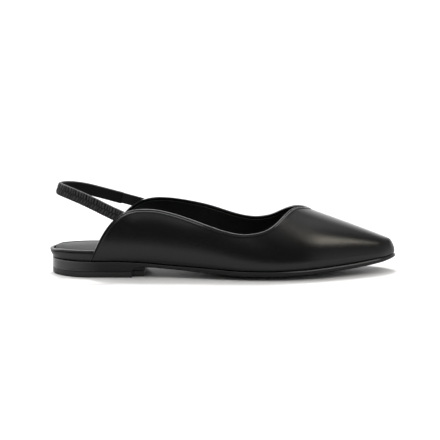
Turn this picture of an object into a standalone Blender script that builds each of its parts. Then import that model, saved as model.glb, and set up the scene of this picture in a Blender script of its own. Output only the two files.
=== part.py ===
"""Flat slingback shoe for the right foot: bottom unit, footbed, lasted upper and sling strap.

Sizes and tables are in millimetres and become metres when a mesh is made. In the tables and functions,
from_heel runs from the back of the heel block to the toe, across runs from the outer side (negative)
to the inner side (positive), and height runs up from the floor.
"""

import math

import bmesh
import bpy
import numpy as np

MM = 0.001

# Driving sizes of the shoe
SHOE_LENGTH = 268.0
MIDDLE_ACROSS = 0.41
HEEL_OVERHANG = 2.0
HEEL_ROUND = 30.0
TOE_ROUND = 14.0
NOSE_ROUND = 5.0
FIT_GAP = 0.3

# Bottom unit: heel block with its rubber lift, and the sole in front of the heel breast
LIFT_HEIGHT = 4.6
LIFT_INSET = 0.1
LIFT_FRONT = 62.5
BREAST_FOOT = 63.2
BREAST_TOP = 72.2
BREAST_SHARE = 0.83
ARCH_RISE = 8.0
TREAD_FROM = 150.0
TREAD_TO = 164.0
TOE_SPRING = 11.0
SPRING_POWER = 2.2
EDGE_LIFT = 3.0
EDGE_LIFT_FROM = 85.0
EDGE_LIFT_RUN = 55.0
TREAD_FLAT_SHARE = 0.35
WAIST_SOLE = 2.3
BALL_SOLE = 3.7
TIP_SOLE = 2.6
SEAT_RISE = 1.9
SOLE_CHAMFER = 0.6
LIFT_CHAMFER = 0.5

# Footbed: wrapped insole with a rolled edge, and the sock pad that lies on it
INSOLE_HEEL = 8.0
INSOLE_BALL = 3.2
INSOLE_DROP = 1.3
DROP_RUN = 8.0
INSOLE_INSET = 3.2
OVERHANG_RUN = 26.0
INSOLE_TUCK = 2.2
INSOLE_ROLL = 1.1
SOCK_INSET = 3.0
SOCK_THICKNESS = 1.0
SOCK_CHAMFER = 0.5

# Upper: one leather and lining wall, lasted round the insole
WALL = 2.0
UPPER_INSET = 0.5
THROAT = 199.1
OUTER_CORNER = 30.2
OUTER_SHOULDER = 74.0
INNER_CORNER = 40.0
INNER_SHOULDER = 88.0
LEAN_END = 110.0

# Sling strap: gathered elastic, and the plain leather tab that ties it to the inner quarter
STRAP_WIDTH = 9.6
STRAP_LEAN = 0.12
STRAP_BACK_LEAN = 0.2
STRAP_THICKNESS = 2.0
TAB_WIDTH = 8.8
TAB_THICKNESS = 1.6
GATHER_PITCH = 2.6
GATHER_DEPTH = 0.5
STRAP_JOIN_SHARE = 0.845


def table(columns, *rows):
    """A short table as one array for each named column."""
    return dict(zip(columns.split(), np.array(rows, float).T))


# Outline of the bottom unit seen from above
PLAN = table(
    "from_heel centre half_width",
    (0, 0.0, 23.5),
    (30, -0.2, 24.2),
    (60, -0.8, 23.8),
    (95, -2.2, 24.2),
    (125, -2.5, 29.2),
    (150, -1.2, 34.6),
    (175, 0.3, 36.7),
    (200, 2.0, 34.4),
    (225, 3.6, 26.8),
    (245, 4.5, 18.6),
    (270, 5.4, 7.6),
)

# Skin of the last: ridge height, lean of the ridge inwards, side belly and its height, squareness
LAST = table(
    "from_heel ridge ridge_shift belly belly_height squareness",
    (20, 86.0, 0.0, 1.4, 15.0, 2.5),
    (80, 86.0, 1.0, 1.8, 16.0, 2.5),
    (110, 82.5, 1.5, 1.7, 15.0, 2.4),
    (140, 73.0, 2.0, 1.2, 11.0, 2.3),
    (170, 61.5, 2.4, 0.7, 7.0, 2.1),
    (200, 49.1, 2.0, 1.2, 9.0, 1.95),
    (230, 37.9, 1.0, 1.4, 10.0, 2.0),
    (255, 28.3, 0.3, 0.9, 7.0, 2.2),
    (270, 22.5, 0.0, 0.3, 4.0, 2.4),
)

# Height of the collar on each side, from the quarter's shoulder to the throat
TOPLINE = table(
    "from_heel outer inner",
    (62, 52.0, 52.0),
    (75, 53.4, 54.6),
    (85, 52.4, 56.3),
    (97, 49.6, 55.5),
    (110, 45.6, 52.8),
    (124, 40.9, 48.6),
    (138, 37.0, 43.3),
    (150, 35.6, 39.6),
    (158, 36.4, 38.4),
    (166, 38.5, 39.0),
    (174, 43.2, 41.7),
    (182, 49.6, 46.1),
    (188, 51.9, 49.0),
    (194, 51.1, 50.5),
    (THROAT, 49.4, 49.4),
)

# Back edge of a quarter, as shares of its reach forward and of its height
BACK_EDGE = table(
    "forward up",
    (0.0, 0.0),
    (0.21, 0.5),
    (0.41, 1.0),
    (1.0, 1.0),
)

# Centre line of the sling strap, from the outer quarter round the heel to the inner quarter
STRAP_ROUTE = table(
    "from_heel across height",
    (58.0, -20.6, 45.4),
    (48.0, -21.0, 50.0),
    (34.0, -20.0, 56.8),
    (21.0, -16.6, 62.2),
    (10.5, -10.6, 65.4),
    (5.1, 0.0, 66.2),
    (10.5, 10.6, 65.4),
    (21.0, 16.8, 63.5),
    (34.0, 19.8, 60.0),
    (48.0, 20.0, 56.2),
    (62.0, 18.9, 52.6),
    (76.0, 17.6, 48.9),
)

OUTER = -1
INNER = 1


def smoothstep(share):
    """Eases from 0 to 1 with a level start and end."""
    share = np.clip(share, 0.0, 1.0)
    return share * share * (3.0 - 2.0 * share)


def natural_spline(knots, values, at):
    """Cubic through the knots with continuous bending, straight at both ends."""
    count = len(knots)
    step = np.diff(knots)
    slope = np.diff(values) / step
    system = np.eye(count)
    change = np.zeros(count)
    for i in range(1, count - 1):
        system[i, i - 1 : i + 2] = step[i - 1], 2.0 * (step[i - 1] + step[i]), step[i]
        change[i] = 6.0 * (slope[i] - slope[i - 1])
    bend = np.linalg.solve(system, change)
    at = np.clip(at, knots[0], knots[-1])
    k = np.clip(np.searchsorted(knots, at) - 1, 0, count - 2)
    d = at - knots[k]
    first = slope[k] - step[k] * (2.0 * bend[k] + bend[k + 1]) / 6.0
    third = (bend[k + 1] - bend[k]) / (6.0 * step[k])
    return values[k] + d * (first + d * (bend[k] / 2.0 + d * third))


def read(rows, name, from_heel):
    """One column of a table at any distance from the heel."""
    return natural_spline(rows["from_heel"], rows[name], from_heel)


def round_end(share):
    """Elliptic closing of an end: 1 where the share is 0, falling to 0 where it is 1."""
    return np.sqrt(1.0 - np.clip(share, 0.0, 1.0) ** 2)


def half_width(s, inset=0.0):
    """Half width of the outline, closed by a round heel and an almond point, drawn in by an inset."""
    heel = round_end((HEEL_ROUND - s) / HEEL_ROUND)
    toe = round_end((s + inset - SHOE_LENGTH + TOE_ROUND) / TOE_ROUND)
    return (read(PLAN, "half_width", s) - inset) * heel * toe


def underside(s):
    """Height of the tread's middle: arch behind, level tread, toe spring in front."""
    arch = ARCH_RISE * smoothstep((TREAD_FROM - s) / (TREAD_FROM - BREAST_TOP))
    spring = np.clip((s - TREAD_TO) / (SHOE_LENGTH - TREAD_TO), 0.0, None) ** SPRING_POWER
    return arch + TOE_SPRING * spring


def edge_lift(s, across):
    """How far the tread curls up towards its edges; across is -1 to 1 over the sole's width."""
    along = smoothstep((s - EDGE_LIFT_FROM) / EDGE_LIFT_RUN) * (1.0 - smoothstep((s - 200.0) / 67.0))
    curl = np.clip((np.abs(across) - TREAD_FLAT_SHARE) / (1.0 - TREAD_FLAT_SHARE), 0.0, None) ** 2
    return EDGE_LIFT * along * curl


def sole_thickness(s):
    """Thin at the waist, full at the ball, skived at the tip, raised under the heel."""
    ball = (BALL_SOLE - WAIST_SOLE) * smoothstep((s - BREAST_TOP) / 67.0)
    tip = (BALL_SOLE - TIP_SOLE) * smoothstep((s - 247.0) / 20.0)
    seat = SEAT_RISE * (1.0 - smoothstep((s - 45.0) / 50.0))
    return WAIST_SOLE + ball - tip + seat


def tread(s, across):
    return underside(s) + edge_lift(s, across)


def seat(s, across):
    """Top of the bottom unit, on which the footbed and the upper sit."""
    return tread(s, across) + sole_thickness(s)


def heel_underside(s, across):
    """Flat on the lift, with the corners beside the breast scooped by quarter ellipses up to the waist."""
    flat = LIFT_HEIGHT + FIT_GAP
    share = np.clip((BREAST_TOP - s) / (BREAST_TOP - BREAST_FOOT), 0.0, 1.0)
    corner = smoothstep((np.abs(across) - BREAST_SHARE) / 0.03)
    return flat + (ARCH_RISE - flat) * round_end(share) * corner


def overhanging(s):
    """From 1 at the very back of the footbed to 0 where its overhang ends, as a power of the way left."""
    return np.clip(1.0 - s / OVERHANG_RUN, 0.0, 1.0) ** 2.5


def insole_thickness(s):
    """Thick under the heel, thin at the ball, and rolled down at the very back."""
    thick = INSOLE_BALL + (INSOLE_HEEL - INSOLE_BALL) * (1.0 - smoothstep((s - 45.0) / 65.0))
    return thick - INSOLE_DROP * (1.0 - smoothstep(s / DROP_RUN))


def insole_top(s, across):
    return seat(s, across) + FIT_GAP + insole_thickness(s)


def insole_inset(s):
    """The footbed overhangs the back of the heel and lies inside the quarters in front of it."""
    return INSOLE_INSET - (INSOLE_INSET + HEEL_OVERHANG) * overhanging(s)


def stations(start, end, round_steps, middle_steps):
    """Distances from the heel, spaced by angle where an end is round and evenly between."""
    angles = np.linspace(0.0, math.pi / 2.0, round_steps + 1)
    first, last = start, end
    parts = []
    if start <= 0.0:
        first = HEEL_ROUND
        parts.append(HEEL_ROUND * (1.0 - np.cos(angles))[:-1])
    if end >= SHOE_LENGTH:
        last = SHOE_LENGTH - TOE_ROUND
    parts.append(np.linspace(first, last, middle_steps + 1))
    if end >= SHOE_LENGTH:
        parts.append(last + TOE_ROUND * np.sin(angles)[1:])
    return np.concatenate(parts)


def half_outline(s, side, inset):
    """One side of the outline at the stations s, moved in along its normals, as (from_heel, across)."""
    points = np.stack([s, read(PLAN, "centre", s) + side * half_width(s)], axis=1)
    tangent = np.gradient(points, axis=0)
    closed = half_width(s) < 1e-6
    tangent[closed] = [0.0, 1.0]
    outward = side * np.stack([-tangent[:, 1], tangent[:, 0]], axis=1)
    outward[closed] = np.where(s[closed] < SHOE_LENGTH / 2.0, -1.0, 1.0)[:, None] * [1.0, 0.0]
    outward /= np.linalg.norm(outward, axis=1)[:, None]
    return points - np.broadcast_to(inset, s.shape)[:, None] * outward


def row_across(s, inset, height, across):
    """Points over the width at each station, between the two half outlines, at the height given there."""
    low = half_outline(s, OUTER, inset)[:, None, :]
    high = half_outline(s, INNER, inset)[:, None, :]
    share = (np.asarray(across)[None, :, None] + 1.0) / 2.0
    plan = low + (high - low) * share
    tall = height(plan[..., 0], np.broadcast_to(across, plan.shape[:2]))
    return np.concatenate([plan, tall[..., None]], axis=2)


def plate_rings(s, levels, across):
    """Sections of a solid that follows the outline: its underside, its stepped sides, its top.

    levels run from the underside to the top, each an inset and a height function.
    """
    edges = [row_across(s, inset, height, [-1.0, 1.0]) for inset, height in levels]
    bottom = row_across(s, *levels[0], across)
    top = row_across(s, *levels[-1], across)
    inner_side = np.stack([e[:, 1] for e in edges[1:-1]], axis=1)
    outer_side = np.stack([e[:, 0] for e in edges[1:-1]], axis=1)
    return np.concatenate([bottom, inner_side, top[:, ::-1], outer_side[:, ::-1]], axis=1)


def between(low, high, share):
    """A height function part of the way from one to another."""
    return lambda s, across: low(s, across) + share * (high(s, across) - low(s, across))


def above(base, rise):
    """A height function a fixed rise over another."""
    return lambda s, across: base(s, across) + rise


def level(height):
    """A height function that is the same everywhere."""
    return lambda s, across: height + 0.0 * s


def material(name, colour, roughness):
    made = bpy.data.materials.new(name)
    made.use_nodes = True
    shader = made.node_tree.nodes["Principled BSDF"]
    shader.inputs["Base Color"].default_value = (*colour, 1.0)
    shader.inputs["Roughness"].default_value = roughness
    shader.inputs["Metallic"].default_value = 0.0
    return made


def to_metres(points):
    """Moves the millimetre points so that the shoe stands centred on the origin, in metres."""
    middle = np.array([(SHOE_LENGTH - HEEL_OVERHANG) / 2.0, MIDDLE_ACROSS, 0.0])
    return (np.asarray(points, float) - middle) * MM


def add_object(name, mesh_edit, finish):
    """Turns the edited mesh into a smooth shaded object with its own material."""
    bmesh.ops.remove_doubles(mesh_edit, verts=mesh_edit.verts, dist=1e-7)
    bmesh.ops.recalc_face_normals(mesh_edit, faces=mesh_edit.faces)
    mesh = bpy.data.meshes.new(name)
    mesh_edit.to_mesh(mesh)
    mesh_edit.free()
    mesh.shade_smooth()
    mesh.set_sharp_from_angle(angle=math.radians(40.0))
    mesh.materials.append(finish)
    made = bpy.data.objects.new(name, mesh)
    bpy.context.scene.collection.objects.link(made)
    return made


def grid_faces(mesh_edit, points, closed=False):
    """Skins a grid of points with quads, as a ring of columns where closed; returns its vertices."""
    rows, columns = points.shape[:2]
    flat = to_metres(points.reshape(-1, 3))
    verts = np.array([mesh_edit.verts.new(p) for p in flat], object).reshape(rows, columns)
    for i in range(rows - 1):
        for j in range(columns if closed else columns - 1):
            k = (j + 1) % columns
            mesh_edit.faces.new((verts[i, j], verts[i + 1, j], verts[i + 1, k], verts[i, k]))
    return verts


def loft(name, rings, finish, open_ends=()):
    """Closed solid through the rings; an end that doesn't close to a point is capped."""
    mesh_edit = bmesh.new()
    verts = grid_faces(mesh_edit, rings, closed=True)
    for end in open_ends:
        mesh_edit.faces.new(list(verts[end]))
    return add_object(name, mesh_edit, finish)


def build_top_lift():
    s = np.concatenate([stations(0.0, LIFT_FRONT, 10, 4), [LIFT_FRONT + 0.1, BREAST_TOP]])
    inset = np.where(s > LIFT_FRONT, (1.0 - BREAST_SHARE) * half_width(s), LIFT_INSET)
    levels = [
        (inset + LIFT_CHAMFER, level(0.0)),
        (inset, level(LIFT_CHAMFER)),
        (inset, level(LIFT_HEIGHT)),
    ]
    finish = material("lift_rubber", (0.012,) * 3, 0.6)
    return loft("top_lift", plate_rings(s, levels, [-1.0, 1.0]), finish, [-1])


def build_heel():
    turn = np.linspace(0.0, math.pi / 2.0, 7)
    breast = BREAST_TOP - (BREAST_TOP - BREAST_FOOT) * np.cos(turn)
    s = np.concatenate([stations(0.0, BREAST_FOOT, 10, 4)[:-1], breast])
    levels = [
        (0.0, heel_underside),
        (0.0, between(heel_underside, seat, 0.5)),
        (0.0, seat),
    ]
    corner = BREAST_SHARE + 0.03
    across = [-1.0, -corner, -BREAST_SHARE, BREAST_SHARE, corner, 1.0]
    finish = material("heel_paint", (0.014,) * 3, 0.3)
    return loft("heel", plate_rings(s, levels, across), finish, [-1])


def build_outsole():
    s = stations(BREAST_TOP + FIT_GAP, SHOE_LENGTH, 6, 26)
    across = [-1.0, -0.68, -TREAD_FLAT_SHARE, TREAD_FLAT_SHARE, 0.68, 1.0]
    levels = [
        (SOLE_CHAMFER, tread),
        (0.0, above(tread, SOLE_CHAMFER)),
        (0.0, above(seat, -SOLE_CHAMFER)),
        (SOLE_CHAMFER, seat),
    ]
    return loft("outsole", plate_rings(s, levels, across), material("sole_paint", (0.014,) * 3, 0.35), [0])


def build_insole():
    s = stations(0.0, SHOE_LENGTH, 10, 22)
    across = [-1.0, -0.6, 0.0, 0.6, 1.0]
    inset = insole_inset(s)
    tuck = 0.2 + (INSOLE_TUCK - 0.2) * overhanging(s)
    bottom = above(seat, FIT_GAP)
    levels = [
        (inset + tuck, bottom),
        (inset + 0.35 * tuck, between(bottom, insole_top, 0.35)),
        (inset, between(bottom, insole_top, 0.72)),
        (inset + INSOLE_ROLL, insole_top),
    ]
    return loft("insole", plate_rings(s, levels, across), material("insole_leather", (0.016,) * 3, 0.35))


def build_sock():
    s = stations(0.0, SHOE_LENGTH, 10, 20)
    across = [-1.0, 0.0, 1.0]
    inset = insole_inset(s) + SOCK_INSET
    base = above(insole_top, FIT_GAP)
    levels = [
        (inset, base),
        (inset, above(base, SOCK_THICKNESS - SOCK_CHAMFER)),
        (inset + SOCK_CHAMFER, above(base, SOCK_THICKNESS)),
    ]
    return loft("sock", plate_rings(s, levels, across), material("sock_leather", (0.02,) * 3, 0.3))


def ridge_rise(s):
    """Height of the last's ridge over its feather edge, rounded down to nothing at the nose."""
    nose = round_end((s + UPPER_INSET - SHOE_LENGTH + NOSE_ROUND) / NOSE_ROUND)
    return (read(LAST, "ridge", s) - feather(s)) * nose


def feather(s):
    """Height of the upper's lower edge, just clear of the bottom unit."""
    return seat(s, np.ones_like(s)) + FIT_GAP


def last_skin(s, angle):
    """Point of the lasted surface, half of a squared ellipse widened by a soft belly low on its sides.

    Angle 0 is the outer feather edge, a right angle the ridge, a half turn the inner feather edge.
    """
    power = 2.0 / read(LAST, "squareness", s)
    side = -np.sign(np.cos(angle))
    reach = np.abs(np.cos(angle)) ** power
    rise = ridge_rise(s)
    height = rise * np.abs(np.sin(angle))
    up = height / read(LAST, "belly_height", s)
    belly = read(LAST, "belly", s) * up * np.exp(1.0 - up)
    belly = belly * round_end((s + UPPER_INSET - SHOE_LENGTH + TOE_ROUND) / TOE_ROUND)
    middle = read(PLAN, "centre", s) + read(LAST, "ridge_shift", s) * np.sin(angle) ** 2
    across = middle + side * (half_width(s, UPPER_INSET) * reach + belly)
    return np.stack([s, across, feather(s) + height], axis=-1)


def topline_angle(s, side):
    """Angle of the collar on one side, from 0 at the feather edge to a right angle at the throat."""
    knots = TOPLINE["from_heel"]
    height = TOPLINE["outer" if side == OUTER else "inner"] - feather(knots)
    angles = np.arcsin(np.clip(height / ridge_rise(knots), 0.0, 1.0))
    angles[-1] = math.pi / 2.0
    return np.minimum(natural_spline(knots, angles, s), math.pi / 2.0)


def bezier(name, share):
    """Cubic curve of the quarter's back edge for one column of its table."""
    a, b, c, d = BACK_EDGE[name]
    rest = 1.0 - share
    return a * rest**3 + 3.0 * b * rest**2 * share + 3.0 * c * rest * share**2 + d * share**3


def quarter_grid(side, up_steps):
    """One side of the upper as a grid from the back edge to the toe, and from the feather edge to the top.

    The first column follows the quarter's back edge, later ones lean less, and in front of the throat
    they end on the ridge.
    """
    corner, shoulder = (OUTER_CORNER, OUTER_SHOULDER) if side == OUTER else (INNER_CORNER, INNER_SHOULDER)
    tip = SHOE_LENGTH - UPPER_INSET
    toe = tip - TOE_ROUND
    lean_share = np.linspace(0.0, 1.0, 9)
    low = corner + lean_share * (LEAN_END - corner)
    high = shoulder + lean_share * (LEAN_END - shoulder)
    middle = np.concatenate([np.linspace(LEAN_END, THROAT, 15)[1:], np.linspace(THROAT, toe, 9)[1:]])
    nose = toe + TOE_ROUND * np.sin(np.linspace(0.0, math.pi / 2.0, 9))[1:]
    low = np.concatenate([low, middle, nose])[:, None]
    high = np.concatenate([high, middle, nose])[:, None]
    share = np.linspace(0.0, 1.0, up_steps + 1)[None, :]
    s = low + (high - low) * bezier("forward", share)
    settled = smoothstep((low - corner) / (LEAN_END - corner))
    up = bezier("up", share) * (1.0 - settled) + share * settled
    top = np.where(high < THROAT, topline_angle(high, side), math.pi / 2.0)
    angle = top * up
    return last_skin(s, angle if side == OUTER else math.pi - angle)


def build_upper():
    """The wall is one skin over the last, thickened inwards, open below, at the collar and at the heel."""
    mesh_edit = bmesh.new()
    grid_faces(mesh_edit, quarter_grid(OUTER, 9))
    grid_faces(mesh_edit, quarter_grid(INNER, 9)[:, ::-1])
    made = add_object("upper", mesh_edit, material("upper_leather", (0.012,) * 3, 0.35))
    wall = made.modifiers.new("wall", "SOLIDIFY")
    wall.thickness = WALL * MM
    wall.offset = -1.0
    wall.use_even_offset = True
    return made


def back_edge(side):
    """Points up the back edge of a quarter."""
    return quarter_grid(side, 40)[0]


def unit(vectors):
    """Vectors of length one in the same directions."""
    return vectors / np.linalg.norm(vectors, axis=-1, keepdims=True)


def strap_frame(share):
    """Centre line of the strap with its direction, its width direction and its outward direction."""
    knots = np.stack([STRAP_ROUTE[c] for c in ("from_heel", "across", "height")], axis=1)
    run = np.concatenate([[0.0], np.cumsum(np.linalg.norm(np.diff(knots, axis=0), axis=1))])

    def curve(at):
        return np.stack([natural_spline(run, knots[:, c], at) for c in range(3)], axis=-1)

    at = np.asarray(share) * run[-1]
    small = 1e-3
    along = unit(curve(np.minimum(at + small, run[-1])) - curve(np.maximum(at - small, 0.0)))
    upward = unit(np.array([0.0, 0.0, 1.0]) - along[..., 2:] * along)
    lean = STRAP_LEAN + STRAP_BACK_LEAN * np.sin(math.pi * np.asarray(share))[..., None] ** 4
    upward = unit(upward - lean * np.cross(upward, along))
    return curve(at), along, upward, np.cross(upward, along), run[-1]


def strap_end(side, row, width):
    """Share of the route where one row of a band stops, just clear of the quarter's back edge."""
    edge = back_edge(side)
    shares = np.linspace(0.0, 0.3, 1200) if side == OUTER else np.linspace(1.0, 0.7, 1200)
    centre, _, upward, _, _ = strap_frame(shares)
    path = centre + row * width * upward
    limit = np.interp(path[:, 2], edge[:, 2], edge[:, 0])
    clear = path[:, 0] < limit - 1.5 * FIT_GAP
    return shares[np.argmax(clear)]


def band(name, width, thickness, ends, steps, relief, finish):
    """Flat band along the strap's route; ends give where each of its lengthwise rows starts and stops."""
    points = []
    for face, rows in ((0.5, (-0.5, 0.0, 0.5)), (-0.5, (0.5, 0.0, -0.5))):
        for row in rows:
            shares = np.linspace(*ends(row), steps + 1)
            centre, _, upward, outward, length = strap_frame(shares)
            depth = face * thickness + (relief(shares * length) if face > 0.0 else 0.0 * shares)
            points.append(centre + row * width * upward + depth[:, None] * outward)
    return loft(name, np.stack(points, axis=1), finish, [0, -1])


def gathers(run):
    """Height of the elastic's ribs along its run."""
    return GATHER_DEPTH * 0.5 * (1.0 - np.cos(2.0 * math.pi * run / GATHER_PITCH))


def build_strap():
    """Gathered elastic from the outer quarter round the heel to the leather tab."""
    length = strap_frame(np.array([0.0]))[4]
    run = length * (STRAP_JOIN_SHARE - strap_end(OUTER, 0.0, STRAP_WIDTH))
    steps = int(round(2.0 * run / GATHER_PITCH))
    return band(
        "strap",
        STRAP_WIDTH,
        STRAP_THICKNESS,
        lambda row: (strap_end(OUTER, row, STRAP_WIDTH), STRAP_JOIN_SHARE),
        steps,
        gathers,
        material("strap_leather", (0.016,) * 3, 0.4),
    )


def build_strap_tab():
    length = strap_frame(np.array([0.0]))[4]
    first = STRAP_JOIN_SHARE + FIT_GAP / length
    return band(
        "strap_tab",
        TAB_WIDTH,
        TAB_THICKNESS,
        lambda row: (first, strap_end(INNER, row, TAB_WIDTH)),
        6,
        np.zeros_like,
        material("tab_leather", (0.014,) * 3, 0.4),
    )


def main():
    for old in list(bpy.data.objects):
        bpy.data.objects.remove(old)
    build_top_lift()
    build_heel()
    build_outsole()
    build_insole()
    build_sock()
    build_upper()
    build_strap()
    build_strap_tab()


main()
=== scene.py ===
"""Dresses the slingback shoe: stitched leather upper, gathered strap, footbed, heel and sole.

Tables and shape functions are in millimetres. from_heel (s) runs from the back of the heel block to the
toe, across from the outer side (negative) to the inner side (positive), and height up from the floor.
"""

import math
from types import SimpleNamespace

import bmesh
import bpy
import numpy as np
from bpy.props import FloatProperty, FloatVectorProperty, PointerProperty
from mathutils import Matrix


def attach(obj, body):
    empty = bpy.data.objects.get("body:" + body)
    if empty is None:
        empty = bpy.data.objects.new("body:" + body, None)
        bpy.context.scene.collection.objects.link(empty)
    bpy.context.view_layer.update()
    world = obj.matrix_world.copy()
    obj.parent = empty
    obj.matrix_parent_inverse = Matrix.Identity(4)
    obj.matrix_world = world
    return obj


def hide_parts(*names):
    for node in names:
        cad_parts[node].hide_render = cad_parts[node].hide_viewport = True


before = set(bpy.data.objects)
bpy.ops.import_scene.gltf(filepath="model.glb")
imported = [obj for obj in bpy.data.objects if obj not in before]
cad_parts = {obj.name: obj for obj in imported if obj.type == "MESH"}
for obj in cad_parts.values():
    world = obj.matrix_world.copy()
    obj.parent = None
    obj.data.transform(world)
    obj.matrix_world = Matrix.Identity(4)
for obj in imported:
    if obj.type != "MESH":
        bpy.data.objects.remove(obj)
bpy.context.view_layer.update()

bl_info = {
    "name": "Slingback shoe",
    "version": (1, 0, 0),
    "blender": (4, 5, 0),
    "location": "View3D > Sidebar > Shoe",
    "description": "Builds the visible pieces of a flat slingback shoe and a plain studio round it",
    "category": "Object",
}

MM = 0.001
BODY = "root"
OUTER = -1
INNER = 1
RIGHT_ANGLE = math.pi / 2.0

# Sizes of the last and the bottom unit
SHOE_LENGTH = 268.0
HEEL_OVERHANG = 2.0
MIDDLE_ACROSS = 0.41
HEEL_ROUND = 30.0
TOE_ROUND = 14.0
NOSE_ROUND = 5.0
LIFT_HEIGHT = 4.6
LIFT_INSET = 0.1
LIFT_FRONT = 62.5
BREAST_FOOT = 63.2
BREAST_TOP = 72.2
BREAST_SHARE = 0.83
ARCH_RISE = 8.0
TREAD_FROM = 150.0
TREAD_TO = 164.0
TOE_SPRING = 11.0
SPRING_POWER = 2.2
EDGE_LIFT = 3.0
EDGE_LIFT_FROM = 85.0
EDGE_LIFT_RUN = 55.0
TREAD_FLAT_SHARE = 0.35
WAIST_SOLE = 2.3
BALL_SOLE = 3.7
TIP_SOLE = 2.6
SEAT_RISE = 1.9
FIT_GAP = 0.3
INSOLE_HEEL = 8.0
INSOLE_BALL = 3.2
INSOLE_DROP = 1.3
DROP_RUN = 8.0
INSOLE_INSET = 3.2
OVERHANG_RUN = 26.0
SOCK_INSET = 3.5
UPPER_INSET = 0.5
THROAT = 199.1
OUTER_CORNER = 30.2
OUTER_SHOULDER = 74.0
INNER_CORNER = 40.0
INNER_SHOULDER = 88.0
STRAP_LEAN = 0.12
STRAP_BACK_LEAN = 0.2
STRAP_JOIN_SHARE = 0.845
TAB_WIDTH = 8.7
TIP = SHOE_LENGTH - UPPER_INSET

# Where shapes change along the shoe, and how softly
EDGE_LIFT_END = 200.0
EDGE_LIFT_FADE = 67.0
BALL_RUN = 67.0
SKIVE_FROM = 247.0
SKIVE_RUN = 20.0
SEAT_FROM = 45.0
SEAT_RUN = 50.0
THINNING_FROM = 45.0
THINNING_RUN = 65.0
OVERHANG_POWER = 2.5
PAD_FROM = 45.0
PAD_RISE = 15.0
PAD_TO = 95.0
PAD_FADE = 35.0
WAIST = 130.0
VAMP_SWELL_FROM = 168.0
VAMP_SWELL_RUN = 12.0

# Small sizes of edges and joints
LIFT_CLEARANCE = 0.12
LIFT_EDGE = 0.5
LIFT_CHAMFER = 0.25
CORNER_WIDTH = 0.03
INSOLE_SLANT = 1.9
SOCK_SLANT = 0.9
FIELD_WIDTH = 5.0
FOLD_REACH = 0.5
FOLD_POWER = 0.57
BEAD_PLACE = 0.4
BEAD_WIDTH = 0.25
GROOVE_WIDTH = 0.24
SWELL_PLACE = 0.85
SWELL_WIDTH = 0.5
SWELL_LEAST = 0.14
SWELL_PADDED = 0.41
SWELL_THROAT = 0.45
STEP_RUN = 0.9
LINING_EDGE = 2.5
LINING_GAP = 0.03
QUARTER_LEAN = 1.6
QUARTER_LEAN_REACH = 5.0
FAN_STEPS = 12
EDGE_TURN = np.linspace(0.0, RIGHT_ANGLE, 6)

# Inner lip of the insole's rolled edge: inset, and height over the footbed's top
INSOLE_LIP = ((2.3, 0.05), (2.7, -0.1), (2.95, -0.7))

# Finishes: roughness and its spread, grains per metre and their depth in metres, gloss, clear coat
FINISHES = {
    "sole_paint": (0.34, 0.06, 900.0, 0.00001, 0.22, 0.0),
    "tread_rubber": (0.6, 0.06, 1500.0, 0.00006, 0.5, 0.0),
    "waxed_edge": (0.2, 0.06, 900.0, 0.00001, 0.6, 0.0),
    "lift_rubber": (0.45, 0.06, 1500.0, 0.00003, 0.45, 0.0),
    "insole_leather": (0.3, 0.06, 1100.0, 0.00002, 0.4, 0.0),
    # Painted shade: matt and without gloss on the core and the lip's inner walls, so the groove beside the
    # sock stays dark
    "matt_groove_shade": (0.9, 0.06, 700.0, 0.00005, 0.0, 0.0),
    "sock_leather": (0.47, 0.06, 1000.0, 0.00004, 0.18, 0.0),
    "upper_leather": (0.17, 0.02, 1250.0, 0.000012, 0.32, 0.0),
    "polished_leather": (0.17, 0.02, 1250.0, 0.000012, 0.9, 0.4),
    "lining_leather": (0.5, 0.06, 1000.0, 0.00004, 0.5, 0.0),
    "thread": (0.5, 0.06, 4000.0, 0.00004, 0.5, 0.0),
    "strap_elastic": (0.5, 0.06, 1600.0, 0.00004, 0.15, 0.0),
    "tab_leather": (0.36, 0.06, 1250.0, 0.00003, 0.35, 0.0),
}
# Painted shade: near-black colour that the gathered elastic takes in its creases, where its puffs shade
# each other
CREASE_SHADE_COLOUR = (0.0008, 0.0008, 0.0008, 1.0)
COAT_ROUGHNESS = 0.18

# Soft panels overhead: where each starts, is full, fades and ends, along the shoe and then over it
PANELS = {
    "above": ((-0.9, -0.5, 0.53, 0.64), (-0.5, -0.05, 0.2, 0.7)),
    "hood": ((-0.9, -0.5, 0.5, 0.64), (-2.0, -0.6, 0.9, 1.6)),
    "brow": ((-1.6, -0.8, -0.05, 0.2), (-4.0, -2.3, -1.8, -0.9)),
    "left": ((-1.5, -1.0, -0.55, -0.25), (-0.2, 0.25, 0.9, 1.4)),
    "aside": ((0.67, 0.81, 0.85, 1.02), (-0.98, -0.52, -0.38, -0.06)),
}
WHITE = (1.0, 1.0, 1.0, 1.0)
WARM = (1.0, 0.94, 0.8, 1.0)
FLOOR_RADIUS = 9.0
CAMERA_TARGET = (-0.0024, -0.00037, 0.0406)


def table(columns, *rows):
    """A short table as one array for each named column."""
    return dict(zip(columns.split(), np.array(rows, float).T))


# Outline of the bottom unit seen from above
PLAN = table(
    "from_heel centre half_width",
    (0, 0.0, 23.5),
    (30, -0.2, 24.2),
    (60, -0.8, 23.8),
    (95, -2.2, 24.2),
    (125, -2.5, 29.2),
    (150, -1.2, 34.6),
    (175, 0.3, 36.7),
    (200, 2.0, 34.4),
    (225, 3.6, 26.8),
    (245, 4.5, 18.6),
    (270, 5.4, 7.6),
)

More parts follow.
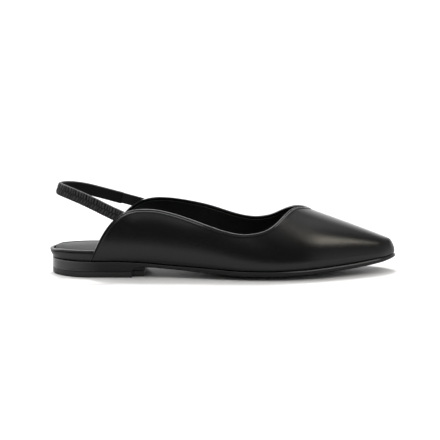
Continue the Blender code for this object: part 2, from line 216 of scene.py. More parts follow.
# Skin of the last: ridge height, lean of the ridge inwards, side belly and its height, squareness
LAST = table(
    "from_heel ridge ridge_shift belly belly_height squareness",
    (20, 86.0, 0.0, 1.4, 15.0, 2.5),
    (80, 86.0, 1.0, 1.8, 16.0, 2.5),
    (110, 82.5, 1.5, 1.7, 15.0, 2.4),
    (140, 73.0, 2.0, 1.2, 11.0, 2.3),
    (170, 61.5, 2.4, 0.7, 7.0, 2.1),
    (200, 49.1, 2.0, 1.2, 9.0, 1.95),
    (230, 37.9, 1.0, 1.4, 10.0, 2.0),
    (255, 28.3, 0.3, 0.9, 7.0, 2.2),
    (270, 22.5, 0.0, 0.3, 4.0, 2.4),
)

# Height of the collar on each side, from the quarter's shoulder to the throat
TOPLINE = table(
    "from_heel outer inner",
    (62, 52.0, 52.0),
    (75, 53.4, 54.6),
    (85, 52.4, 56.3),
    (97, 49.6, 55.5),
    (110, 45.6, 52.8),
    (124, 40.9, 48.6),
    (138, 37.0, 43.3),
    (150, 35.6, 39.6),
    (158, 36.4, 38.4),
    (166, 38.5, 39.0),
    (174, 43.2, 41.7),
    (182, 49.6, 46.1),
    (188, 51.9, 49.0),
    (194, 51.1, 50.5),
    (THROAT, 49.4, 49.4),
)

# Back edge of a quarter, as shares of its reach forward and of its height
BACK_EDGE = table(
    "forward up",
    (0.0, 0.0),
    (0.21, 0.5),
    (0.41, 1.0),
    (1.0, 1.0),
)

# Rolled side of the insole from its tucked lower edge to its top, as an inset and a share of its thickness
INSOLE_SIDE = table(
    "share inset",
    (0.0, 0.3),
    (0.05, 0.25),
    (0.65, 0.25),
    (0.71, 0.3),
    (0.735, 0.45),
    (0.75, 0.8),
    (0.765, 2.0),
    (0.785, 2.0),
    (0.805, 0.3),
    (0.88, 0.0),
    (0.95, 0.1),
    (0.985, 0.45),
    (1.0, 1.0),
)

# Centre line of the sling strap, from the outer quarter round the heel to the inner quarter
STRAP_ROUTE = table(
    "from_heel across height",
    (58.0, -20.6, 45.4),
    (48.0, -21.0, 50.0),
    (34.0, -20.0, 56.8),
    (21.0, -16.6, 62.2),
    (10.5, -10.6, 65.4),
    (5.1, 0.0, 66.2),
    (10.5, 10.6, 65.4),
    (21.0, 16.8, 63.5),
    (34.0, 19.8, 60.0),
    (48.0, 20.0, 56.2),
    (62.0, 18.9, 52.6),
    (76.0, 17.6, 48.9),
)

# Soft ridges where the strap's ends lie under the leather: start, run, height at the start, slope, rise
STRAP_RIDGE = {
    OUTER: (50.0, 19.0, 48.6, -0.52, 0.45),
    INNER: (62.0, 19.0, 52.4, -0.30, 0.30),
}


def length_setting(name, description, default):
    """Setting for a length in metres."""
    return FloatProperty(name=name, description=description, default=default, unit="LENGTH")


def colour_setting(name, description, default):
    """Setting for a colour."""
    return FloatVectorProperty(name=name, description=description, default=default, subtype="COLOR", size=3)


def number_setting(name, description, default):
    """Setting for a plain number, such as the strength of a light."""
    return FloatProperty(name=name, description=description, default=default)


class UpperSettings(bpy.types.PropertyGroup):
    """Sizes and colours of the leather, its lining and its stitched edge"""

    leather: length_setting("Leather", "Thickness of the outer leather", 0.0017)
    lining: length_setting("Lining", "Thickness of the lining", 0.00065)
    bead: length_setting("Bead", "How far the folded edge stands out", 0.00025)
    groove: length_setting("Groove", "Depth of the stitched groove", 0.0005)
    groove_place: length_setting("Groove place", "Distance of the groove from the edge", 0.00098)
    step: length_setting("Step", "How far the edge lies under the padded quarter", 0.0003)
    stitch: length_setting("Stitch", "Length of one stitch", 0.0015)
    stitch_gap: length_setting("Stitch gap", "Gap between stitches", 0.0006)
    thread: length_setting("Thread", "Radius of the thread", 0.0002)
    colour: colour_setting("Colour", "Leather colour", (0.0035, 0.0035, 0.0036))
    lining_colour: colour_setting("Lining colour", "Colour of the lining", (0.004, 0.004, 0.0041))


class StrapSettings(bpy.types.PropertyGroup):
    """Sizes and colours of the gathered elastic"""

    width: length_setting("Width", "Width of the elastic", 0.0098)
    bulge: length_setting("Bulge", "How far its middle stands out from its edges", 0.0006)
    thickness: length_setting("Thickness", "Thickness of the elastic", 0.002)
    pitch: length_setting("Pitch", "Distance between gathers", 0.0022)
    gather: length_setting("Gather", "Height of the gathers", 0.0012)
    # The puffs take this colour as the lit copy of the cloth; in the creases it gives way to the painted
    # crease shade
    colour: colour_setting("Colour", "Colour of the gathered face", (0.033, 0.033, 0.033))
    # Painted highlight: pale colour along the elastic's top edge, where the lining's edge shows
    edge_highlight_colour: colour_setting("Edge colour", "Colour of the lining's raw edge", (0.1, 0.1, 0.102))


class BottomSettings(bpy.types.PropertyGroup):
    """Edges and colours of the heel, the sole and the footbed"""

    chamfer: length_setting("Chamfer", "Bevel of the sole's upper edge", 0.0009)
    edge_round: length_setting("Edge rounding", "Rounding of the tread's edge", 0.0009)
    colour: colour_setting("Colour", "Paint of the heel and the sole's edge", (0.006, 0.006, 0.006))
    tread_colour: colour_setting("Tread colour", "Colour of the underside", (0.009, 0.009, 0.009))
    insole_colour: colour_setting("Insole colour", "Leather round the insole", (0.006, 0.006, 0.0062))
    sock_colour: colour_setting("Sock colour", "Leather of the sock", (0.012, 0.012, 0.0125))


class StageSettings(bpy.types.PropertyGroup):
    """Floor, camera and light of the studio"""

    floor_colour: colour_setting("Floor", "Colour of the floor", (0.6, 0.6, 0.6))
    # Painted reflection: the floor's colour in the shoe's reflections is painted at this share of it
    mirrored: number_setting("Mirrored", "Share of the floor's brightness that the shoe mirrors", 0.8)
    distance: length_setting("Distance", "Camera distance", 1.6)
    elevation: FloatProperty(name="Elevation", description="Camera height angle",
                             default=math.radians(11.0), subtype="ANGLE")
    lens: number_setting("Lens", "Focal length in millimetres", 168.1)
    front: number_setting("Front", "Dim side of the studio, towards the camera", 0.13)
    back: number_setting("Back", "Bright low backdrop behind the shoe", 1.7)
    above: number_setting("Above", "Panel of soft light above the shoe", 1.45)
    brow: number_setting("Brow", "Low panel before the heel end", 0.9)
    hood: number_setting("Hood", "Wide faint light round the panel above", 0.85)
    side: number_setting("Side", "Faint light on the toe's side, low down", 0.7)
    left: number_setting("Left", "Bright panel behind the heel end", 5.0)
    aside: number_setting("Aside", "Warm panel of soft light by the toe", 11.5)
    key: number_setting("Key", "Even light on the floor from above and behind", 2.2)
    low: number_setting("Low", "Light along the floor from behind", 2.6)


def smoothstep(share):
    """Eases from 0 to 1: three times the square less twice the cube."""
    share = np.clip(share, 0.0, 1.0)
    return share * share * (3.0 - 2.0 * share)


def bell(distance, width):
    """Gaussian bell of a distance."""
    return np.exp(-0.5 * (distance / width) ** 2)


def natural_spline(knots, values, at):
    """Cubic through the knots with continuous bending, straight at both ends."""
    count = len(knots)
    step = np.diff(knots)
    slope = np.diff(values) / step
    system = np.eye(count)
    change = np.zeros(count)
    for i in range(1, count - 1):
        system[i, i - 1 : i + 2] = step[i - 1], 2.0 * (step[i - 1] + step[i]), step[i]
        change[i] = 6.0 * (slope[i] - slope[i - 1])
    bend = np.linalg.solve(system, change)
    at = np.clip(at, knots[0], knots[-1])
    k = np.clip(np.searchsorted(knots, at) - 1, 0, count - 2)
    d = at - knots[k]
    first = slope[k] - step[k] * (2.0 * bend[k] + bend[k + 1]) / 6.0
    third = (bend[k + 1] - bend[k]) / (6.0 * step[k])
    return values[k] + d * (first + d * (bend[k] / 2.0 + d * third))


def read(rows, name, from_heel):
    """One column of a table at any distance from the heel."""
    return natural_spline(rows["from_heel"], rows[name], from_heel)


def round_end(share):
    """Elliptic closing of an end: root of one less the square of the share."""
    return np.sqrt(1.0 - np.clip(share, 0.0, 1.0) ** 2)


def half_width(s, inset=0.0):
    """Half width of the outline, closed by a round heel and an almond point, drawn in by an inset."""
    heel = round_end((HEEL_ROUND - s) / HEEL_ROUND)
    toe = round_end((s + inset - SHOE_LENGTH + TOE_ROUND) / TOE_ROUND)
    return (read(PLAN, "half_width", s) - inset) * heel * toe


def underside(s):
    """Height of the tread's middle: eased arch behind, level tread, toe spring as a power of the reach."""
    arch = ARCH_RISE * smoothstep((TREAD_FROM - s) / (TREAD_FROM - BREAST_TOP))
    spring = np.clip((s - TREAD_TO) / (SHOE_LENGTH - TREAD_TO), 0.0, None) ** SPRING_POWER
    return arch + TOE_SPRING * spring


def edge_lift(s, across):
    """Curl of the tread towards its edges: square of the share beyond its flat middle."""
    along = smoothstep((s - EDGE_LIFT_FROM) / EDGE_LIFT_RUN)
    along = along * (1.0 - smoothstep((s - EDGE_LIFT_END) / EDGE_LIFT_FADE))
    curl = np.clip((np.abs(across) - TREAD_FLAT_SHARE) / (1.0 - TREAD_FLAT_SHARE), 0.0, None) ** 2
    return EDGE_LIFT * along * curl


def sole_thickness(s):
    """Thin at the waist, full at the ball, skived at the tip, raised under the heel."""
    ball = (BALL_SOLE - WAIST_SOLE) * smoothstep((s - BREAST_TOP) / BALL_RUN)
    tip = (BALL_SOLE - TIP_SOLE) * smoothstep((s - SKIVE_FROM) / SKIVE_RUN)
    raised = SEAT_RISE * (1.0 - smoothstep((s - SEAT_FROM) / SEAT_RUN))
    return WAIST_SOLE + ball - tip + raised


def bottom(s, across):
    """Underside of heel block and sole: flat over the lift, its corners quarter ellipses, then tread."""
    flat = LIFT_HEIGHT + LIFT_CLEARANCE
    scoop = round_end((BREAST_TOP - s) / (BREAST_TOP - BREAST_FOOT))
    corner = smoothstep((np.abs(across) - BREAST_SHARE) / CORNER_WIDTH)
    block = flat + (ARCH_RISE - flat) * scoop * corner
    return np.where(s < BREAST_TOP, block, underside(s) + edge_lift(s, across))


def seat(s, across):
    """Top of the bottom unit: tread plus thickness."""
    return underside(s) + edge_lift(s, across) + sole_thickness(s)


def overhanging(s):
    """From 1 at the very back of the footbed to 0 where its overhang ends, as a power of the way left."""
    return np.clip(1.0 - s / OVERHANG_RUN, 0.0, 1.0) ** OVERHANG_POWER


def insole_base(s, across):
    """Underside of the footbed, a small gap above the seat."""
    return seat(s, across) + FIT_GAP


def insole_top(s, across):
    """Top of the footbed: thick at the heel, eased to thin at the ball, rolled down at the very back."""
    thin = smoothstep((s - THINNING_FROM) / THINNING_RUN)
    thick = INSOLE_BALL + (INSOLE_HEEL - INSOLE_BALL) * (1.0 - thin)
    rolled = INSOLE_DROP * (1.0 - smoothstep(s / DROP_RUN))
    return insole_base(s, across) + thick - rolled


def over_insole(rise):
    """Height function at an even rise over the footbed's top."""
    return lambda s, across: insole_top(s, across) + rise


def level_at(height):
    """Height function of a level plane."""
    return lambda s, across: np.full_like(s, height)


def insole_inset(s):
    """Overhang past the back of the heel, eased to a place inside the quarters."""
    return INSOLE_INSET - (INSOLE_INSET + HEEL_OVERHANG) * overhanging(s)


def half_outline(s, side, inset):
    """One side of the outline at stations s, moved in along its normals, as rows of (from_heel, across)."""
    points = np.stack([s, read(PLAN, "centre", s) + side * half_width(s)], axis=1)
    tangent = np.gradient(points, axis=0)
    shut = half_width(s) < 1e-6
    outward = side * np.stack([-tangent[:, 1], tangent[:, 0]], axis=1)
    outward[shut] = np.where(s[shut] < SHOE_LENGTH / 2.0, -1.0, 1.0)[:, None] * [1.0, 0.0]
    outward /= np.linalg.norm(outward, axis=1)[:, None]
    return points - np.broadcast_to(inset, s.shape)[:, None] * outward


def row_across(s, inset, height, across):
    """Points over the width at each station, straight between the two half outlines, at a height."""
    low = half_outline(s, OUTER, inset)[:, None, :]
    high = half_outline(s, INNER, inset)[:, None, :]
    across = np.asarray(across, float)
    plan = low + (high - low) * ((across[None, :, None] + 1.0) / 2.0)
    tall = height(plan[..., 0], np.broadcast_to(across, plan.shape[:2]))
    return np.concatenate([plan, tall[..., None]], axis=2)


def closed(rings):
    """Rings with their first point repeated at the end."""
    return np.concatenate([rings, rings[:, :1]], axis=1)


def end_cap(ring):
    """A closed ring drawn together at its middle, which fills the end of a row of rings."""
    return np.broadcast_to(ring[:-1].mean(axis=0), (1, *ring.shape))


def plate(s, under, over, side_rows):
    """Rings round a solid that follows the outline.

    Each ring runs over the underside, up the inner side, back over the top and down the outer side. under
    and over are (inset, height function, across values), side_rows (inset, height function) going up.
    """
    sides = [row_across(s, inset, height, [-1.0, 1.0]) for inset, height in side_rows]
    inner_side = np.stack([row[:, 1] for row in sides], axis=1)
    outer_side = np.stack([row[:, 0] for row in sides], axis=1)
    below = row_across(s, *under)
    above = row_across(s, *over)[:, ::-1]
    return closed(np.concatenate([below, inner_side, above, outer_side[:, ::-1]], axis=1))


def stations(first_steps, body, last_steps):
    """Distances from the heel: by angle round the heel, as given between, by angle round the toe."""
    heel = HEEL_ROUND * (1.0 - np.cos(np.linspace(0.0, RIGHT_ANGLE, first_steps + 1)))[:-1]
    toe = SHOE_LENGTH - TOE_ROUND
    toe = toe + TOE_ROUND * np.sin(np.linspace(0.0, RIGHT_ANGLE, last_steps + 1))[1:]
    return np.concatenate([heel, body, toe])


def ridge_rise(s):
    """Height of the last's ridge over its feather edge, closed by an ellipse at the nose."""
    nose = round_end((s + UPPER_INSET - SHOE_LENGTH + NOSE_ROUND) / NOSE_ROUND)
    return (read(LAST, "ridge", s) - feather(s)) * nose


def feather(s):
    """Height of the upper's lower edge, just clear of the bottom unit."""
    return seat(s, np.ones_like(s)) + FIT_GAP


def last_skin(s, angle):
    """Lasted surface: half of a squared ellipse at each station, widened by a soft belly low on its sides.

    Angle 0 is the outer feather edge, a right angle the ridge, a half turn the inner feather edge.
    """
    power = 2.0 / read(LAST, "squareness", s)
    side = -np.sign(np.cos(angle))
    reach = np.abs(np.cos(angle)) ** power
    rise = ridge_rise(s)
    height = rise * np.abs(np.sin(angle))
    up = height / read(LAST, "belly_height", s)
    belly = read(LAST, "belly", s) * up * np.exp(1.0 - up)
    belly = belly * round_end((s + UPPER_INSET - SHOE_LENGTH + TOE_ROUND) / TOE_ROUND)
    middle = read(PLAN, "centre", s) + read(LAST, "ridge_shift", s) * np.sin(angle) ** 2
    across = middle + side * (half_width(s, UPPER_INSET) * reach + belly)
    return np.stack([s, across, feather(s) + height], axis=-1)


def skin_slopes(s, angle, reach):
    """Rates of change of the lasted surface along the shoe and round its section, by small differences."""
    back = np.clip(s - 0.05, None, TIP - 0.15)
    fore = np.clip(s + 0.05, None, TIP - 0.05)
    low = np.clip(angle - reach, 0.0, math.pi)
    high = np.clip(angle + reach, 0.0, math.pi)
    along = (last_skin(fore, angle) - last_skin(back, angle)) / (fore - back)[..., None]
    near = np.minimum(s, TIP - 0.05)
    around = (last_skin(near, high) - last_skin(near, low)) / (high - low)[..., None]
    return along, around


def unit(vectors):
    """Vectors scaled to length one."""
    return vectors / np.linalg.norm(vectors, axis=-1, keepdims=True)


def skin_normal(s, angle):
    """Outward direction of the lasted surface, straight forward at the very tip."""
    normal = unit(np.cross(*skin_slopes(s, angle, 0.004)))
    return np.where((s > TIP - 1e-6)[..., None], [1.0, 0.0, 0.0], normal)


def topline_angle(s, side):
    """Angle of the collar on one side: a spline through tabled heights, closed on the ridge in front."""
    knots = TOPLINE["from_heel"]
    height = TOPLINE["outer" if side == OUTER else "inner"] - feather(knots)
    angles = np.arcsin(np.clip(height / ridge_rise(knots), 0.0, 1.0))
    angles[-1] = RIGHT_ANGLE
    return np.minimum(natural_spline(knots, angles, s), RIGHT_ANGLE)


def bezier(name, share):
    """Cubic Bezier curve of the quarter's back edge for one column of its table."""
    a, b, c, d = BACK_EDGE[name]
    rest = 1.0 - share
    return a * rest**3 + 3.0 * b * rest**2 * share + 3.0 * c * rest * share**2 + d * share**3


def mirror_angle(angle, side):
    """Angles are kept as if on the outer side and turned over for the inner one."""
    return angle if side == OUTER else math.pi - angle


def edge_curve(side, spacing):
    """Free edge of one side at even spacing: up the quarter's back, then along the collar to the throat.

    Returns its distance from the heel, its angle, and its run.
    """
    corner, shoulder = (OUTER_CORNER, OUTER_SHOULDER) if side == OUTER else (INNER_CORNER, INNER_SHOULDER)
    share = np.linspace(0.0, 1.0, 400)
    top = topline_angle(np.array([shoulder]), side)[0]
    collar = np.linspace(shoulder, THROAT, 900)[1:]
    s = np.concatenate([corner + (shoulder - corner) * bezier("forward", share), collar])
    angle = np.concatenate([top * bezier("up", share), topline_angle(collar, side)])
    points = last_skin(s, angle)
    run = np.concatenate([[0.0], np.cumsum(np.linalg.norm(np.diff(points, axis=0), axis=1))])
    at = np.linspace(0.0, run[-1], int(round(run[-1] / spacing)) + 1)
    return np.interp(at, run, s), np.interp(at, run, angle), at


def edge_frame(side, spacing, fan_steps):
    """The free edge with the step, in distance and angle, that goes one millimetre into the leather.

    The step is square to the edge on the surface. At the throat it turns in a fan until it points along
    the ridge.
    """
    s, angle, run = edge_curve(side, spacing)
    along, around = skin_slopes(s, angle, 0.06)
    tangent = unit(np.gradient(last_skin(s, angle), axis=0))
    inward = np.cross(tangent, unit(np.cross(along, around)))
    aa = np.sum(along * along, axis=1)
    ab = np.sum(along * around, axis=1)
    bb = np.sum(around * around, axis=1)
    a = np.sum(along * inward, axis=1)
    b = np.sum(around * inward, axis=1)
    det = aa * bb - ab * ab
    step = np.stack([(a * bb - b * ab) / det, (b * aa - a * ab) / det], axis=1)
    scale = np.array([1.0 / math.sqrt(aa[-1]), 1.0 / math.sqrt(bb[-1])])
    turn = math.atan2(-step[-1, 1] / scale[1], step[-1, 0] / scale[0])
    fan = np.linspace(turn, 0.0, fan_steps + 1)[1:]
    fan_step = np.stack([np.cos(fan) * scale[0], -np.sin(fan) * scale[1]], axis=1)
    last = np.full(fan_steps, len(s) - 1)
    keep = np.concatenate([np.arange(len(s)), last])
    return s[keep], angle[keep], np.concatenate([step, fan_step]), run[keep]


def padded(s):
    """Share of padding under the leather: full at the top of the quarters, none by the waist."""
    return smoothstep((s - PAD_FROM) / PAD_RISE) * (1.0 - smoothstep((s - PAD_TO) / PAD_FADE))


def plumpness(s):
    """Height of the swell behind the stitches: low at the waist, more at the quarters and at the throat."""
    throat = smoothstep((s - VAMP_SWELL_FROM) / VAMP_SWELL_RUN)
    return SWELL_LEAST + SWELL_PADDED * padded(s) + SWELL_THROAT * throat


def edge_relief(distance, run, s, settings):
    """How far the leather stands out beside its free edge: a bead, a stitched groove, a swell and a step.

    The first three are bells of the distance from the edge; the groove is deepest where the thread goes in.
    The step is eased: it lets the edge lie lower than the padded leather behind the stitches.
    """
    place = settings.groove_place / MM
    pull = np.cos(2.0 * math.pi * run * MM / (settings.stitch + settings.stitch_gap))
    bead = settings.bead / MM * bell(distance - BEAD_PLACE, BEAD_WIDTH)
    groove = settings.groove / MM * bell(distance - place, GROOVE_WIDTH) * (1.0 - 0.25 * pull)
    swell = plumpness(s) * bell(distance - place - SWELL_PLACE, SWELL_WIDTH) * (1.0 + 0.2 * pull)
    step = settings.step / MM * padded(s) * (1.0 - smoothstep((distance - place) / STEP_RUN))
    return bead - groove + swell - step


def body_relief(s, height, side):
    """Low relief of the leather: tucked at the feather edge, ridged over strap ends, faintly waved."""
    start, reach, first, slope, rise = STRAP_RIDGE[side]
    line = first + slope * (s - start)
    window = smoothstep((s - start + 4.0) / 8.0) * (1.0 - smoothstep((s - start - 5.0) / (reach - 5.0)))
    ridge = rise * window * bell(height - line, 3.2)
    tuck = 0.6 * np.exp(-(height - feather(s)) / 0.8)
    waves = 0.05 * np.sin(s / 9.0 + height / 14.0) * np.sin(height / 11.0 - s / 23.0)
    return ridge - tuck + waves


def rounding_over(s, height, side):
    """How far a quarter leans in towards its collar: an exponential of the height below the topline."""
    along = np.clip(s, PAD_FROM, WAIST)
    top = last_skin(along, mirror_angle(topline_angle(along, side), side))[..., 2]
    return QUARTER_LEAN * padded(s) * np.exp(-np.clip(top - height, 0.0, None) / QUARTER_LEAN_REACH)


def skin_point(s, angle, side, depth):
    """Point under the lasted surface, at a depth along its normal; a negative depth stands out."""
    turned = mirror_angle(angle, side)
    skin = last_skin(s, turned)
    depth = np.asarray(depth) + rounding_over(s, skin[..., 2], side)
    return skin - depth[..., None] * skin_normal(s, turned)


def leather_columns(side, spacing):
    """Columns of one side's grid, from the feather edge to the edge field or, before the throat, the ridge.

    Their lower ends are spread evenly as far as the waist, then eased to lie under their upper ends.
    """
    s, angle, step, run = edge_frame(side, spacing, FAN_STEPS)
    high = s + FIELD_WIDTH * step[:, 0]
    high_angle = np.clip(angle + FIELD_WIDTH * step[:, 1], 0.0, RIGHT_ANGLE)
    high_angle[0] = 0.0
    share = np.linspace(0.0, 1.0, len(s))
    settle = np.searchsorted(s, WAIST) / len(s)
    rear = high[0] + (WAIST - high[0]) * share / settle
    eased = smoothstep((share - settle + 0.12) / 0.24)
    low = np.maximum.accumulate(rear * (1.0 - eased) + high * eased)
    nose = TIP - TOE_ROUND
    front = np.concatenate([
        np.linspace(high[-1], nose, 46)[1:],
        nose + TOE_ROUND * np.sin(np.linspace(0.0, RIGHT_ANGLE, 26))[1:],
    ])
    return SimpleNamespace(
        s=s, angle=angle, step=step, run=run, low=low, high=high, high_angle=high_angle,
        vamp_low=np.concatenate([low[-1:], front]), vamp_high=np.concatenate([high[-1:], front]),
    )


def rows_between(low, high, high_angle, share):
    """Straight rows, as distance from the heel and angle, from the feather edge to the columns' tops."""
    s = low[:, None] + (high - low)[:, None] * share[None, :]
    return s, np.broadcast_to(high_angle, low.shape)[:, None] * share[None, :]


def quarter_rows(columns, share):
    """Rows behind the throat, up to the edge field."""
    return rows_between(columns.low, columns.high, columns.high_angle, share)


def vamp_rows(columns, share):
    """Rows in front of the throat, up to the ridge."""
    return rows_between(columns.vamp_low, columns.vamp_high, RIGHT_ANGLE, share)


def edge_rows(columns, distance):
    """Rows beside the free edge, at distances from it into the leather."""
    s = columns.s[:, None] + columns.step[:, :1] * distance[None, :]
    angle = np.clip(columns.angle[:, None] + columns.step[:, 1:] * distance[None, :], 0.0, RIGHT_ANGLE)
    angle[0] = 0.0
    return s, angle


def capped_rings(*parts):
    """Rows of points joined into closed rings, the first of them filled."""
    rings = closed(np.concatenate(parts, axis=1))
    return np.concatenate([end_cap(rings[0]), rings])


def upper_shell(side, settings):
    """Outer leather of one side: face, folded edge and inner face as rings, and the vamp before the throat.

    The fold is a squared half turn from the face to the inside. Returns the grids and the finish of their
    faces, which is polished on the fold and behind the stitches.
    """
    thick = settings.leather / MM
    columns = leather_columns(side, 0.525)
    share = np.linspace(0.0, 1.0, 36) ** 1.15
    coarse = np.linspace(1.0, 0.0, 8)
    face = np.concatenate([
        np.linspace(FIELD_WIDTH, 3.2, 5)[1:],
        np.linspace(3.2, 1.25 * FOLD_REACH, 24)[1:],
    ])
    roll = np.linspace(0.0, math.pi, 15)[1:]
    over = np.abs(np.sin(roll)) ** FOLD_POWER
    turn = np.sign(np.cos(roll)) * np.abs(np.cos(roll)) ** FOLD_POWER
    inner = np.concatenate([np.linspace(0.75 * FOLD_REACH, 2.8, 11)[1:], [3.6, 4.3]])
    distance = np.concatenate([face, FOLD_REACH * (1.0 - over + 0.25 * turn), inner])
    s = columns.s[:, None]
    run = columns.run[:, None]
    rim = edge_relief(FOLD_REACH, run, s, settings)
    depth = np.concatenate([
        -edge_relief(face[None, :], run, s, settings),
        thick / 2.0 * (1.0 - turn) - rim * (1.0 + turn) / 2.0,
        np.broadcast_to(thick + 0.4 * bell(inner - 1.2, 0.6), (len(run), len(inner))),
    ], axis=1)
    on_face = np.concatenate([np.ones(len(face)), (1.0 + turn) / 2.0, np.zeros(len(inner))])

    def points(rows, face_share, deep):
        """Points of the leather at a depth, with a share of the low relief."""
        height = last_skin(*rows)[..., 2]
        return skin_point(*rows, side, deep - body_relief(rows[0], height, side) * face_share)

    rings = capped_rings(
        points(quarter_rows(columns, share), 1.0, 0.0),
        points(edge_rows(columns, distance), on_face[None, :], depth),
        points(quarter_rows(columns, coarse), 0.0, thick),
    )
    vamp = points(vamp_rows(columns, share), 1.0, 0.0)
    inside = points(vamp_rows(columns, coarse), 0.0, thick)
    sill = np.stack([inside[:, -1], vamp[:, 0]], axis=1)
    behind = (face[:-1] + face[1:]) / 2.0 - settings.groove_place / MM
    edge = len(share) + len(behind)
    mark = np.zeros((rings.shape[0] - 1, rings.shape[1] - 1), int)
    mark[:, len(share) : edge] = (plumpness(s) > 0.25) & (behind > 0.05) & (behind < 1.1)
    mark[:, edge : edge + len(roll)] = 1
    return [rings, vamp, inside, sill], [mark, 0, 0, 0]


def lining_shell(side, settings):
    """Lining of one side: a thin closed sheet inside the leather, its upper edge just under the fold."""
    near = settings.leather / MM + LINING_GAP
    far = near + settings.lining / MM
    columns = leather_columns(side, 1.5)
    share = np.linspace(0.0, 1.0, 25)
    face = np.linspace(FIELD_WIDTH, LINING_EDGE + 0.3, 6)[1:]
    roll = np.linspace(0.0, math.pi, 8)
    distance = np.concatenate([face, LINING_EDGE + 0.3 * (1.0 - np.sin(roll)), face[::-1]])
    depth = np.concatenate([
        np.full(len(face), far),
        (far + near) / 2.0 + (far - near) / 2.0 * np.cos(roll),
        np.full(len(face), near),
    ])
    rings = capped_rings(
        skin_point(*quarter_rows(columns, share), side, far),
        skin_point(*edge_rows(columns, distance), side, depth),
        skin_point(*quarter_rows(columns, share[::-1]), side, near),
    )
    inside = skin_point(*vamp_rows(columns, share), side, far)
    outside = skin_point(*vamp_rows(columns, share), side, near)
    sill = np.stack([outside[:, 0], inside[:, 0]], axis=1)
    return [rings, inside, outside[:, ::-1], sill]


def sampled(at, run, rows):
    """Points or directions along a run, straight between the given rows."""
    return np.stack([np.interp(at, run, rows[:, c]) for c in range(3)], axis=-1)


def stitch_grids(side, settings):
    """Stitches in the groove: short round bars with domed ends, laid along the free edge at its groove."""
    place = settings.groove_place / MM
    long = settings.stitch / MM
    thread = settings.thread / MM
    pitch = (settings.stitch + settings.stitch_gap) / MM
    s, angle, step, run = edge_frame(side, 0.3, 0)
    line_s = s + place * step[:, 0]
    line_angle = np.clip(angle + place * step[:, 1], 0.0, RIGHT_ANGLE)
    groove = (settings.groove + settings.step * padded(s)) / MM
    path = skin_point(line_s, line_angle, side, groove - 0.6 * thread)
    normal = skin_normal(line_s, mirror_angle(line_angle, side))
    along = np.linspace(0.0, 1.0, 7)
    starts = pitch * np.arange(2.0, run[-1] / pitch - 1.0) - long / 2.0
    at = starts[:, None] + long * along[None, :]
    centre = sampled(at, run, path)
    out = unit(sampled(at, run, normal))
    cross = np.cross(unit(np.gradient(centre, axis=1)), out)
    thick = thread * np.sqrt(np.clip(1.0 - (2.0 * along - 1.0) ** 4, 0.0, None))
    turn = np.linspace(0.0, 2.0 * math.pi, 9)
    spread = np.cos(turn)[:, None] * cross[:, :, None, :] + np.sin(turn)[:, None] * out[:, :, None, :]
    return list(centre[:, :, None, :] + thick[None, :, None, None] * spread)


def strap_frame(share):
    """Centre line of the strap as a spline by run, its width and outward directions, and its length.

    The width direction is square to the run, close to upright, and leans in at its top.
    """
    knots = np.stack([STRAP_ROUTE[c] for c in ("from_heel", "across", "height")], axis=1)
    run = np.concatenate([[0.0], np.cumsum(np.linalg.norm(np.diff(knots, axis=0), axis=1))])

    def curve(at):
        """Point of the centre line at a run."""
        return np.stack([natural_spline(run, knots[:, c], at) for c in range(3)], axis=-1)

    at = np.asarray(share) * run[-1]
    along = unit(curve(np.minimum(at + 1e-3, run[-1])) - curve(np.maximum(at - 1e-3, 0.0)))
    upward = unit(np.array([0.0, 0.0, 1.0]) - along[..., 2:] * along)
    lean = STRAP_LEAN + STRAP_BACK_LEAN * np.sin(math.pi * np.asarray(share))[..., None] ** 4
    upward = unit(upward - lean * np.cross(upward, along))
    return curve(at), upward, np.cross(upward, along), run[-1]


def strap_end(side, offset):
    """Share of the route where each row of a band, offset from its middle, meets a quarter's back edge."""
    s, angle, _ = edge_curve(side, 0.5)
    edge = last_skin(s, angle)[:140]
    shares = np.linspace(0.0, 0.3, 900) if side == OUTER else np.linspace(1.0, 0.7, 900)
    centre, upward, _, _ = strap_frame(shares)
    path = centre[None] + offset[:, None, None] * upward[None]
    limit = np.interp(path[..., 2], edge[:, 2], edge[:, 0])
    return shares[np.argmax(path[..., 0] < limit + 0.25, axis=1)]


def band(profile_offset, profile_depth, first, last, steps, relief):
    """Closed band: a profile of (offset over the width, depth) carried along the strap's route.

    first and last give each profile point's own start and end; relief adds to the depth and the offset, and
    gives a mask of painted shade for the creases. Returns the points, their place on the band and that
    mask.
    """
    t = np.linspace(0.0, 1.0, steps + 1)[:, None]
    share = first[None, :] + (last - first)[None, :] * t
    centre, upward, outward, length = strap_frame(share)
    # relief's third result is the painted crease shade mask, kept in puff
    more_depth, more_offset, puff = relief(share * length, profile_offset, profile_depth, t)
    offset = profile_offset[None, :] + more_offset
    depth = profile_depth[None, :] + more_depth
    points = closed(centre + offset[..., None] * upward + depth[..., None] * outward)
    uv = closed(np.stack(np.broadcast_arrays(share * length * MM, profile_offset[None, :] * MM), axis=-1))
    uv, puff = [np.concatenate([rows[:1], rows, rows[-1:]]) for rows in (uv, closed(puff))]
    return np.concatenate([end_cap(points[0]), points, end_cap(points[-1])]), uv, puff


def band_profile(width, thickness, face_points):
    """Section of a flat band with rounded edges: outer face, upper edge, inner face, lower edge."""
    radius = thickness / 2.0
    flat = width / 2.0 - radius
    across = np.linspace(-flat, flat, face_points)
    turn = np.linspace(0.0, math.pi, 9)[1:-1]
    edge = flat + radius * np.sin(turn)
    face = np.full(face_points, radius)
    offset = np.concatenate([across, edge, across[::-1], -edge])
    depth = np.concatenate([face, radius * np.cos(turn), -face, -radius * np.cos(turn)])
    return offset, depth


